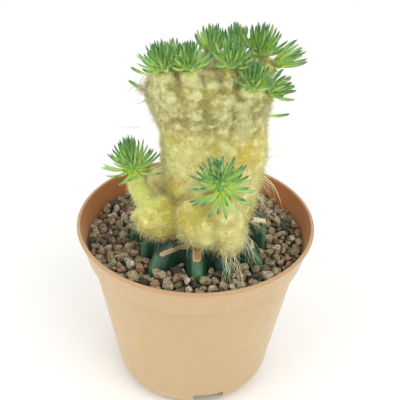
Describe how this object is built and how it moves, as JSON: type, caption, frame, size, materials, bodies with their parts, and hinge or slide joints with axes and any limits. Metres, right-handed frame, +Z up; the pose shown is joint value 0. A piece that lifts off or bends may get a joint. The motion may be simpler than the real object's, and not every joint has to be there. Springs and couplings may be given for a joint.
{
  "type": "potted austrocylindropuntia",
  "caption": "Crested woolly austrocylindropuntia with tufts of awl-shaped green leaves, grafted on a ribbed cactus stub in a gravel-topped nursery pot.",
  "frame": {"origin": "middle of the pot's foot circle, on the surface that the pot stands on", "axes": "+Z up, -Y towards the picture's viewer, +X to the viewer's right along the crest"},
  "size_m": [0.105, 0.105, 0.1748],
  "materials": {
    "pot_plastic": "smooth satin terracotta-coloured polypropylene, paler and tan outside, redder inside",
    "potting_mix": "dark, damp, fibrous potting mix",
    "grit": "rough angular lava and pumice grit in mixed grey, brown and red",
    "stock_skin": "dark green waxy cactus skin with corky tan scars on its trimmed ribs",
    "scion_wool": "pale yellow fleshy tubercles under cream wool, with ochre gaps between them",
    "leaf_skin": "smooth fleshy leaves, yellow-green at the root and dark green at the tip"
  },
  "bodies": {
    "root": {"pot": "pot_plastic", "substrate": "potting_mix", "gravel": "grit", "rootstock": "stock_skin", "scion": "scion_wool", "tuft_arm_left": "leaf_skin", "tuft_arm_front": "leaf_skin", "tuft_crest_left": "leaf_skin", "tuft_crest_front_left": "leaf_skin", "tuft_crest_front_right": "leaf_skin", "tuft_crest_rear_left": "leaf_skin", "tuft_crest_rear_right": "leaf_skin", "tuft_shoulder_top": "leaf_skin", "tuft_shoulder_edge": "leaf_skin", "tuft_shoulder_front": "leaf_skin", "tuft_shoulder_side": "leaf_skin", "tuft_back_left": "leaf_skin", "tuft_back_right": "leaf_skin", "leaf_right": "leaf_skin", "leaf_left": "leaf_skin", "leaf_left_upper": "leaf_skin"}
  },
  "joints": []
}
